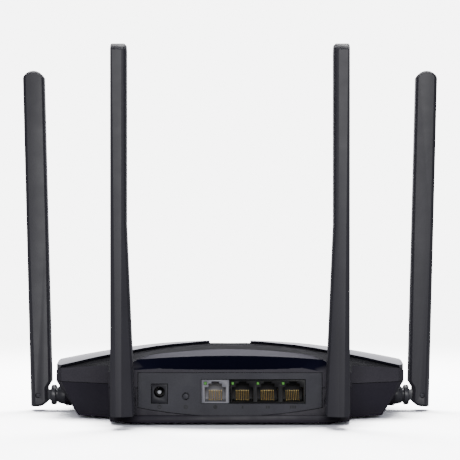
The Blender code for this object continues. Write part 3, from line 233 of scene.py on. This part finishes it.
def polished_wing():
    """Black ABS moulded against polished steel, with faint wiping marks."""
    material, tree, out = new_finish("ABS polished, wing")
    place = add(tree, "TexCoord")
    wiped = add(tree, "Mapping", {"Vector": (place, "Object"), "Rotation": (0.0, 0.0, math.radians(18)),
                                  "Scale": (1 / WIPE_LENGTH, 1 / WIPE_WIDTH, 1 / WIPE_WIDTH)})
    marks = add(tree, "TexNoise", {"Vector": (wiped, "Vector"), "Scale": 1.0, "Detail": 3.0})
    film = add(tree, "TexNoise", {"Vector": (place, "Object"), "Scale": 1 / TONE_PATCH, "Detail": 4.0})
    ramp = add(tree, "ValToRGB", {"Fac": (film, "Fac")})
    ramp.color_ramp.elements[0].position = 0.3
    ramp.color_ramp.elements[0].color = linear("#10101A")
    ramp.color_ramp.elements[1].position = 0.7
    ramp.color_ramp.elements[1].color = linear("#15151D")
    both = add(tree, "Mix", {0: 0.5, 2: (marks, "Fac"), 3: (film, "Fac")}, data_type="FLOAT")
    rough = add(tree, "MapRange", {"Value": (both, 0), "From Min": 0.35, "From Max": 0.65,
                                   "To Min": 0.06, "To Max": 0.17})
    bump = add(tree, "Bump", {"Height": (marks, "Fac"), "Strength": 0.12, "Distance": 0.01 * MM})
    skin = add(tree, "BsdfPrincipled", {"Base Color": (ramp, "Color"), "Roughness": (rough, "Result"),
                                        "Normal": (bump, "Normal"), "IOR": 1.54, "Coat Weight": 0.35,
                                        "Coat Roughness": 0.08})
    tree.links.new(skin.outputs["BSDF"], out.inputs["Surface"])
    return material


wing_abs = polished_wing()
print(wing_abs.name, "made")

# %% [markdown]
# ## Metals
# Screws, pins and shields are bright steel with drawing or turning marks, the contacts are
# gold flashed over nickel, and the heat sink and the capacitor can are aluminium. A metal
# keeps the shader's own IOR, and its colour is the colour of its reflections. Fine lines
# run along one direction: a noise squeezed across them gives the streaks, which change the
# gloss and very slightly the tone.

# %% Metal recipe
def drawn_metal(name, deep, pale, smoothest, roughest, line, length, along):
    """Metal with lines of that width and length, in metres, running along axis 0, 1 or 2."""
    material, tree, out = new_finish(name)
    place = add(tree, "TexCoord")
    scale = [1 / line] * 3
    scale[along] = 1 / length
    lines = add(tree, "Mapping", {"Vector": (place, "Object"), "Scale": scale})
    streak = add(tree, "TexNoise", {"Vector": (lines, "Vector"), "Scale": 1.0, "Detail": 3.0})
    ramp = add(tree, "ValToRGB", {"Fac": (streak, "Fac")})
    ramp.color_ramp.elements[0].position = 0.3
    ramp.color_ramp.elements[0].color = linear(deep)
    ramp.color_ramp.elements[1].position = 0.7
    ramp.color_ramp.elements[1].color = linear(pale)
    rough = add(tree, "MapRange", {"Value": (streak, "Fac"), "From Min": 0.3, "From Max": 0.7,
                                   "To Min": smoothest, "To Max": roughest})
    bump = add(tree, "Bump", {"Height": (streak, "Fac"), "Strength": 0.25, "Distance": 0.01 * MM})
    skin = add(tree, "BsdfPrincipled", {"Base Color": (ramp, "Color"), "Roughness": (rough, "Result"),
                                        "Normal": (bump, "Normal"), "Metallic": 1.0})
    tree.links.new(skin.outputs["BSDF"], out.inputs["Surface"])
    return material


steel = drawn_metal("steel, nickel plated", "#A9ABB0", "#C9CBD0", 0.20, 0.36, 0.3 * MM, 6 * MM, 0)
oxide = drawn_metal("steel, black oxide", "#38383C", "#4A4A4F", 0.32, 0.48, 0.3 * MM, 6 * MM, 0)
gold = drawn_metal("gold flash over nickel", "#E8C87C", "#FBE6A8", 0.38, 0.55, 0.2 * MM, 4 * MM, 1)
aluminium = drawn_metal("aluminium, extruded", "#B9BBC0", "#D4D6DA", 0.28, 0.44, 0.4 * MM, 30 * MM, 1)
print("metal finishes made")

# %% [markdown]
# ## Light windows, circuit board
# The link lights are small clear acrylic windows with a lit diode close behind, so they
# glow green, in a faint uneven cloud. The light pipe at the front is the same
# plastic, unlit and slightly frosted. The board is glass fibre under green solder mask: a
# glossy film over copper tracks, which show as slightly paler straight bands. A brick
# pattern with thin joints makes the tracks.

# %% Windows and board
def lit_window():
    """A clear acrylic window with a green diode behind it."""
    material, tree, out = new_finish("acrylic window, lit green")
    place = add(tree, "TexCoord")
    cloud = add(tree, "TexNoise", {"Vector": (place, "Object"), "Scale": 1 / (0.6 * MM), "Detail": 2.0})
    ramp = add(tree, "ValToRGB", {"Fac": (cloud, "Fac")})
    ramp.color_ramp.elements[0].color = linear("#2E6B22")
    ramp.color_ramp.elements[1].color = linear("#6FB452")
    skin = add(tree, "BsdfPrincipled", {"Base Color": (ramp, "Color"), "Roughness": 0.25, "IOR": 1.49,
                                        "Emission Color": (ramp, "Color"), "Emission Strength": 0.16})
    tree.links.new(skin.outputs["BSDF"], out.inputs["Surface"])
    return material


def frosted_pipe():
    """The unlit light pipe: clear acrylic with a frosted end."""
    material, tree, out = new_finish("acrylic, frosted")
    place = add(tree, "TexCoord")
    frost = add(tree, "TexNoise", {"Vector": (place, "Object"), "Scale": 1 / (0.5 * MM), "Detail": 3.0})
    rough = add(tree, "MapRange", {"Value": (frost, "Fac"), "To Min": 0.25, "To Max": 0.5})
    bump = add(tree, "Bump", {"Height": (frost, "Fac"), "Strength": 0.3, "Distance": 0.02 * MM})
    skin = add(tree, "BsdfPrincipled", {"Base Color": linear("#C9D2DA"), "Roughness": (rough, "Result"),
                                        "Normal": (bump, "Normal"), "IOR": 1.49, "Transmission Weight": 0.5})
    tree.links.new(skin.outputs["BSDF"], out.inputs["Surface"])
    return material


def solder_mask():
    """Green solder mask over copper tracks."""
    material, tree, out = new_finish("glass fibre board, green solder mask")
    place = add(tree, "TexCoord")
    tracks = add(tree, "TexBrick", {"Vector": (place, "Object"), "Color1": linear("#1F5A35"),
                                    "Color2": linear("#236540"), "Mortar": linear("#16452A"),
                                    "Scale": 1 / (9 * MM), "Mortar Size": 0.06, "Brick Width": 1.4,
                                    "Row Height": 0.16})
    dust = add(tree, "TexNoise", {"Vector": (place, "Object"), "Scale": 1 / (3 * MM), "Detail": 4.0})
    rough = add(tree, "MapRange", {"Value": (dust, "Fac"), "To Min": 0.18, "To Max": 0.42})
    bump = add(tree, "Bump", {"Height": (tracks, "Fac"), "Strength": 0.4, "Distance": 0.04 * MM})
    skin = add(tree, "BsdfPrincipled", {"Base Color": (tracks, "Color"), "Roughness": (rough, "Result"),
                                        "Normal": (bump, "Normal"), "IOR": 1.52})
    tree.links.new(skin.outputs["BSDF"], out.inputs["Surface"])
    return material


window_green = lit_window()
pipe_acrylic = frosted_pipe()
board_mask = solder_mask()
print("window and board finishes made")

# %% [markdown]
# ## Each part gets its finish
# A part's finish is chosen by the start of its name, longest first, so that a contact comb
# isn't painted like the socket that holds it.

# %% Paint the parts
FINISHES = {
    "top_case": deck_abs, "bottom_case": hull_abs, "left_wing_plate": wing_abs,
    "right_wing_plate": wing_abs, "port_panel": panel_abs, "reset_button": panel_abs,
    "reset_switch": black_pbt, "wan_jack": grey_pbt, "lan_jack": black_pbt,
    "power_inlet": inlet_pbt, "power_inlet_pin": steel, "main_board": board_mask,
    "processor": chip_epoxy, "thermal_pad": pad_silicone, "heat_sink": aluminium,
    "wan_transformer": chip_epoxy, "lan_transformer": chip_epoxy, "capacitor": aluminium,
    "radio_shield": steel, "status_light": window_green, "light_pipe": pipe_acrylic,
    "board_screw": steel, "case_screw": steel, "foot": foot_rubber,
    "swivel_base": hinge_nylon, "antenna_blade": antenna_abs, "hinge_pin": oxide,
    "radiating_strip": board_mask, "lead": lead_jacket,
}


def finish_for(name):
    """The finish of a part, from its name."""
    if name.endswith("_contacts"):
        return gold
    if name.endswith("_light"):
        return window_green
    return FINISHES[max((key for key in FINISHES if name.startswith(key)), key=len)]


for name, part in nodes.items():
    part.data.materials.clear()
    part.data.materials.append(finish_for(name))
print("painted", len(nodes), "parts with", len({finish_for(n).name for n in nodes}), "finishes")

# %% [markdown]
# ## Soft edges
# A moulding never has a knife edge: the tool's corners are worn or cut to a small radius,
# and that radius catches the light as a thin bright line. The solid parts arrive as loose
# triangles, and Weld joins them. On the parts listed below, a planar Decimate gives back
# each flat face, and Bevel rounds every edge sharper than a set angle. The other parts,
# with broad faces that a bevel would streak, keep their edges crisp with an Edge Split.

# %% Round the edges of the parts
SAME_POINT = 0.005 * MM
FLAT_ANGLE = math.radians(1.0)
BEVEL_ANGLE = math.radians(20)
CREASE_ANGLE = math.radians(28)
# The radius of the rounded edges in mm, by the start of the part's name.
EDGE_RADII = {"antenna_blade": 0.2, "bottom_case": 0.4,
              "wan_jack": 0.12, "lan_jack": 0.12, "power_inlet": 0.15,
              "swivel_base": 0.2, "foot": 0.3, "reset_button": 0.1, "heat_sink": 0.1}
for name, part in nodes.items():
    for face in part.data.polygons:
        face.use_smooth = True
    weld = part.modifiers.new("weld", "WELD")
    weld.merge_threshold = SAME_POINT
    radius = next((r for key, r in EDGE_RADII.items() if name.startswith(key)), None)
    if radius and not name.endswith(("_contacts", "_light", "_pin")):
        flats = part.modifiers.new("flats", "DECIMATE")
        flats.decimate_type = "DISSOLVE"
        flats.angle_limit = FLAT_ANGLE
        edges = part.modifiers.new("edges", "BEVEL")
        edges.width = radius * MM
        edges.segments = 2
        edges.limit_method = "ANGLE"
        edges.angle_limit = BEVEL_ANGLE
        edges.harden_normals = True
    else:
        split = part.modifiers.new("creases", "EDGE_SPLIT")
        split.split_angle = CREASE_ANGLE
print("edges rounded on", sum("edges" in p.modifiers for p in nodes.values()), "parts")

# %% [markdown]
# ## Contact wires
# In a network socket eight springs stand side by side. Each is one bent gold-plated wire:
# it leaves the floor near the mouth, climbs backwards, and curls over at its top. The
# solid model has them as one comb, which is right for its job but too plain for the eye.
# Here a wire is a small ring of points that is extruded from bend to bend.

# %% Make the contact wires
WIRES = 8
WIRE_PITCH = 1.02 * MM
WIRE_RADIUS = 0.22 * MM
WIRE_SIDES = 8


def new_piece(bm, name, finish, body):
    """Turns a bmesh into a finished piece that rides on a body."""
    bmesh.ops.remove_doubles(bm, verts=bm.verts, dist=SAME_POINT)
    bmesh.ops.recalc_face_normals(bm, faces=bm.faces)
    data = bpy.data.meshes.new(name)
    bm.to_mesh(data)
    bm.free()
    data.materials.append(finish)
    piece = bpy.data.objects.new(name, data)
    bpy.context.scene.collection.objects.link(piece)
    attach(piece, body)
    return piece


def bent_wire(bm, route, radius):
    """A round wire along a short route of points in one plane of constant x."""
    ring = bmesh.ops.create_circle(bm, cap_ends=True, radius=radius, segments=WIRE_SIDES)["verts"]
    ahead = (route[1] - route[0]).normalized()
    turn = Vector((0, 0, 1)).rotation_difference(ahead).to_matrix().to_4x4()
    bmesh.ops.transform(bm, matrix=Matrix.Translation(route[0]) @ turn, verts=ring)
    face = ring[0].link_faces[0]
    for here, there in zip(route, route[1:]):
        grown = bmesh.ops.extrude_face_region(bm, geom=[face])["geom"]
        moved = [item for item in grown if isinstance(item, bmesh.types.BMVert)]
        face = next(item for item in grown if isinstance(item, bmesh.types.BMFace))
        bmesh.ops.translate(bm, vec=there - here, verts=moved)


for name in sorted(n for n in nodes if n.endswith("_contacts")):
    low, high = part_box(name)
    middle = (low.x + high.x) / 2
    comb = bmesh.new()
    foot, bend, top = high.y - WIRE_RADIUS, low.z + WIRE_RADIUS, high.z
    # The wire's side view, as (y, z): its foot, three points of the climb, and its curled top.
    side = [(foot, bend), (foot - 0.9 * MM, bend + 0.25 * MM), (foot - 4.2 * MM, bend + 2.4 * MM),
            (foot - 7.4 * MM, top - 0.7 * MM), (foot - 8.0 * MM, top - WIRE_RADIUS),
            (low.y + 0.3 * MM, top - 0.9 * MM)]
    for index in range(WIRES):
        x = middle + (index - (WIRES - 1) / 2) * WIRE_PITCH
        bent_wire(comb, [Vector((x, y, z)) for y, z in side], WIRE_RADIUS)
    piece = new_piece(comb, name.replace("_contacts", "_wires"), gold, "router_body")
    piece.data.shade_smooth()
    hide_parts(name)
print("contact wires made for", sum(n.endswith("_contacts") for n in nodes), "sockets")

# %% [markdown]
# ## Printed marks
# Under each socket the panel carries a small dark mark. These are plain signs that any
# router could have: a ring with a stroke at its top for power, a dot in a ring for reset, a
# ring with a cross for the single socket, and one, two or three bars for the others. The
# ink is a film, so each mark is a flat shape given a hair of thickness.

# %% Make the printed marks
INK_HEIGHT = 0.04 * MM
MARK_Z = 10.2 * MM
MARK_RADIUS = 1.15 * MM
LINE = 0.42 * MM
BAR_WIDTH = 0.85 * MM
BAR_HEIGHT = 1.7 * MM
BAR_PITCH = 1.3 * MM


def ring(bm, x, z, radius, line, segments=20):
    """A flat ring in the panel's plane, made by spinning one short line."""
    start = bm.verts.new((x + radius - line, 0.0, z))
    end = bm.verts.new((x + radius, 0.0, z))
    edge = bm.edges.new((start, end))
    bmesh.ops.spin(bm, geom=[start, end, edge], cent=(x, 0.0, z), axis=(0.0, 1.0, 0.0),
                   angle=math.tau, steps=segments, use_merge=True)


def bar(bm, x, z, width, height):
    """A flat block of ink."""
    corners = bmesh.ops.create_grid(bm, x_segments=1, y_segments=1, size=0.5)["verts"]
    stand = Matrix.Translation((x, 0.0, z)) @ Matrix.Rotation(math.pi / 2, 4, "X")
    bmesh.ops.transform(bm, matrix=stand @ Matrix.Diagonal((width, height, 1.0, 1.0)), verts=corners)


def power_mark(bm, x):
    """A ring with a stroke at its top."""
    ring(bm, x, MARK_Z, MARK_RADIUS, LINE)
    bar(bm, x, MARK_Z + MARK_RADIUS * 0.8, LINE, MARK_RADIUS)


def reset_mark(bm, x):
    """A dot in a ring."""
    ring(bm, x, MARK_Z, MARK_RADIUS, LINE)
    bar(bm, x, MARK_Z, LINE * 1.4, LINE * 1.4)


def cross_mark(bm, x):
    """A ring with a cross in it."""
    ring(bm, x, MARK_Z, MARK_RADIUS, LINE)
    bar(bm, x, MARK_Z, 2 * MARK_RADIUS - LINE, LINE)
    bar(bm, x, MARK_Z, LINE, 2 * MARK_RADIUS - LINE)


def count_mark(count):
    """A row of that many bars."""
    def draw(bm, x):
        for index in range(count):
            bar(bm, x + (index - (count - 1) / 2) * BAR_PITCH, MARK_Z, BAR_WIDTH, BAR_HEIGHT)
    return draw


def centre_x(name):
    """The middle of a part, left to right."""
    low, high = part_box(name)
    return (low.x + high.x) / 2


panel_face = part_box("port_panel")[1].y
MARKS = {"mark_power": (power_mark, centre_x("power_inlet_pin")),
         "mark_reset": (reset_mark, centre_x("reset_button")),
         "mark_internet": (cross_mark, centre_x("wan_jack_1_contacts"))}
for count in (1, 2, 3):
    MARKS[f"mark_network_{count}"] = (count_mark(count), centre_x(f"lan_jack_{count}_contacts"))
for name, (draw, x) in MARKS.items():
    film = bmesh.new()
    draw(film, x)
    bmesh.ops.recalc_face_normals(film, faces=film.faces)
    bmesh.ops.solidify(film, geom=film.faces[:], thickness=INK_HEIGHT)
    bmesh.ops.translate(film, vec=(0.0, panel_face + INK_HEIGHT, 0.0), verts=film.verts)
    new_piece(film, name, print_ink, "router_body")
print("printed marks", sorted(MARKS))

# %% [markdown]
# ## Camera
# The router is seen level from behind, in the middle, from about 0.8 m, with the eye at
# 0.1 m above the table. The lens is shifted a little so that the view stays level while
# the router sits low in the frame.

# %% Camera
EYE_HEIGHT = 99.6 * MM
EYE_DISTANCE = 820 * MM
socket_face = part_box("lan_jack")[1].y
camera_data = bpy.data.cameras.new("camera")
camera_data.lens = 112.8
camera_data.sensor_width = 36.0
camera_data.shift_y = 0.0435
camera = bpy.data.objects.new("camera", camera_data)
bpy.context.scene.collection.objects.link(camera)
camera.location = (0.0, socket_face + EYE_DISTANCE, EYE_HEIGHT)
camera.rotation_euler = (math.radians(90), 0.0, math.radians(180))
bpy.context.scene.camera = camera
print("camera at", [round(v, 3) for v in camera.location])

# %% [markdown]
# ## Studio
# A product like this is usually shown on a white sweep: a pale floor that melts into a
# white wall. A black object only looks black if the room in front of it is dim, and its
# polished faces only shine if something bright stands behind it. So the room itself is
# dim, one wide soft box hangs above, a second one stands behind the router for its wings
# to reflect, and a third one stands on the camera's side. What the camera sees of the floor
# is exposed as white, as a sweep with its own lights would be.

# %% Floor
# How bright the sweep is for the camera, how much brighter than paper the near floor is
# drawn for it, and the two distances from the router between which one turns to the other.
SWEEP_WHITE = 6.5
FLOOR_GAIN = 7.5
SWEEP_START = 0.22
SWEEP_END = 0.75
FLOOR_RADIUS = 12.0


def floor_finish():
    """White studio paper with a trace of tooth, exposed as white for the camera."""
    material, tree, out = new_finish("studio paper, white")
    place = add(tree, "TexCoord")
    tooth = add(tree, "TexNoise", {"Vector": (place, "Object"), "Scale": 60.0, "Detail": 3.0})
    ramp = add(tree, "ValToRGB", {"Fac": (tooth, "Fac")})
    ramp.color_ramp.elements[0].color = linear("#F4F4F5")
    ramp.color_ramp.elements[1].color = linear("#FAFAFA")
    bright = add(tree, "VectorMath", {0: (ramp, "Color"), "Scale": FLOOR_GAIN}, operation="SCALE")
    near = add(tree, "BsdfDiffuse", {"Color": (bright, "Vector")})
    sweep = add(tree, "Emission", {"Color": linear("#FFFFFF"), "Strength": SWEEP_WHITE})
    reach = add(tree, "VectorMath", {0: (place, "Object")}, operation="LENGTH")
    melt = add(tree, "MapRange", {"Value": (reach, "Value"), "From Min": SWEEP_START, "From Max": SWEEP_END},
               interpolation_type="SMOOTHSTEP")
    seen = add(tree, "MixShader", {0: (melt, "Result"), 1: (near, "BSDF"), 2: (sweep, "Emission")})
    felt = add(tree, "BsdfDiffuse", {"Color": linear("#9C9CA0")})
    ray = add(tree, "LightPath")
    both = add(tree, "MixShader", {0: (ray, "Is Camera Ray"), 1: (felt, "BSDF"), 2: (seen, 0)})
    tree.links.new(both.outputs[0], out.inputs["Surface"])
    return material


floor_mesh = bmesh.new()
bmesh.ops.create_circle(floor_mesh, cap_ends=True, radius=FLOOR_RADIUS, segments=96)
floor_data = bpy.data.meshes.new("floor")
floor_mesh.to_mesh(floor_data)
floor_mesh.free()
floor = bpy.data.objects.new("floor", floor_data)
floor_data.materials.append(floor_finish())
bpy.context.scene.collection.objects.link(floor)
floor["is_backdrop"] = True
print("floor laid,", FLOOR_RADIUS, "m in radius")

# %% [markdown]
# ## Room and lamps
# The wall is white for the camera and dim for every other ray. The box behind the router is
# slightly lilac, which tints the wings. Only the overhead box and the room light the floor,
# so that the router's shadow stays whole.

# %% Room and soft boxes
ROOM_LEVEL = 0.17
LILAC = (0.94, 0.93, 1.0)
world = bpy.data.worlds.new("white room")
world.use_nodes = True
room = world.node_tree
room.nodes.clear()
dim = add(room, "Background", {"Color": linear("#F2F4FF"), "Strength": ROOM_LEVEL})
white = add(room, "Background", {"Color": linear("#FFFFFF"), "Strength": SWEEP_WHITE})
ray = add(room, "LightPath")
both = add(room, "MixShader", {0: (ray, "Is Camera Ray"), 1: (dim, "Background"), 2: (white, "Background")})
room.links.new(both.outputs[0], add(room, "OutputWorld").inputs["Surface"])
bpy.context.scene.world = world


def soft_box(name, place, aim, size, watts, tint=(1.0, 1.0, 1.0)):
    """A soft box of that width and height at place, turned to aim, not seen itself."""
    data = bpy.data.lights.new(name, "AREA")
    data.shape = "RECTANGLE"
    data.energy = watts
    data.color = tint
    data.size, data.size_y = size
    lamp = bpy.data.objects.new(name, data)
    lamp.location = place
    lamp.rotation_euler = (Vector(aim) - Vector(place)).to_track_quat("-Z", "Y").to_euler()
    lamp.visible_camera = False
    bpy.context.scene.collection.objects.link(lamp)
    return lamp


overhead = soft_box("overhead", (0.0, -0.45, 1.15), (0.0, 0.0, 0.05), (1.2, 0.6), 24.0)
behind = soft_box("behind", (0.0, -2.2, 0.75), (0.0, 0.0, 0.1), (3.6, 1.3), 24.0, LILAC)
front = soft_box("camera side", (0.0, 1.9, 0.6), (0.0, 0.0, 0.1), (0.9, 0.5), 27.0)

unlit_floor = bpy.data.collections.new("not lit by the side boxes")
unlit_floor.objects.link(floor)
unlit_floor.collection_objects[0].light_linking.link_state = "EXCLUDE"
for lamp in (behind, front):
    lamp.light_linking.receiver_collection = unlit_floor
print("studio ready")

# %% [markdown]
# ## Sizes and finish
# The box of the finished model is printed in mm. The finish is meant not to change the
# router's size.

# %% Print the finished model's size
low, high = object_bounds()
print("finished model", [round(v / MM, 1) for v in high - low], "mm")
